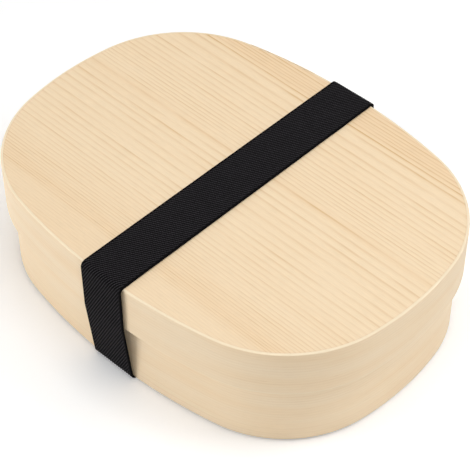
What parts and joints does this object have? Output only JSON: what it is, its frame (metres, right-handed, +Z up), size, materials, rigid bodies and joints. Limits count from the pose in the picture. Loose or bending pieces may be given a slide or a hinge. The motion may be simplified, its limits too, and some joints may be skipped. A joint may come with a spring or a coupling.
{
  "type": "bento box",
  "caption": "Oval bent-wood lunch box with a slip-over lid, laced lap joints at the back, a loose divider and a wide black elastic strap round the middle.",
  "frame": {"origin": "centre of the box seen from above, at the underside of the strap, which the box stands on", "axes": "+X along the box's long axis, +Y towards the laced back wall, +Z up through the lid"},
  "size_m": [0.175, 0.132, 0.0504],
  "materials": {
    "bent_board": "bare bent softwood board, fine-sanded, grain running along the strip",
    "lid_board": "bare straight-grained softwood, fine-sanded, with orange-brown growth lines along the box",
    "inner_board": "bare straight-grained softwood, fine-sanded",
    "bark": "thin reddish-brown bark strip with a slight natural gloss",
    "elastic": "black elastic webbing with fine slanting ribs",
    "thread": "black sewing thread"
  },
  "bodies": {
    "tray": {"tray_band": "bent_board", "tray_bottom": "inner_board", "tray_lace_outer_end": "bark", "tray_lace_inner_end": "bark"},
    "lid": {"lid_band": "bent_board", "lid_plate": "lid_board", "lid_lace_outer_end": "bark", "lid_lace_inner_end": "bark"},
    "divider": {"divider": "inner_board"},
    "strap": {"strap": "elastic", "strap_seam": "thread"}
  },
  "joints": [
    {"name": "lid_lift", "type": "slide", "parent": "tray", "child": "lid", "axis": [0, 0, 1], "range_m": [0, 0.11]},
    {"name": "strap_slide", "type": "slide", "parent": "tray", "child": "strap", "axis": [1, 0, 0], "range_m": [0, 0.132], "deforming": ["strap", "strap_seam"]},
    {"name": "divider_slide", "type": "slide", "parent": "tray", "child": "divider", "axis": [1, 0, 0], "range_m": [-0.024, 0]}
  ],
  "couplings": [
    {"joint": "strap_slide", "follows": "lid_lift", "ratio": 1.2}
  ]
}
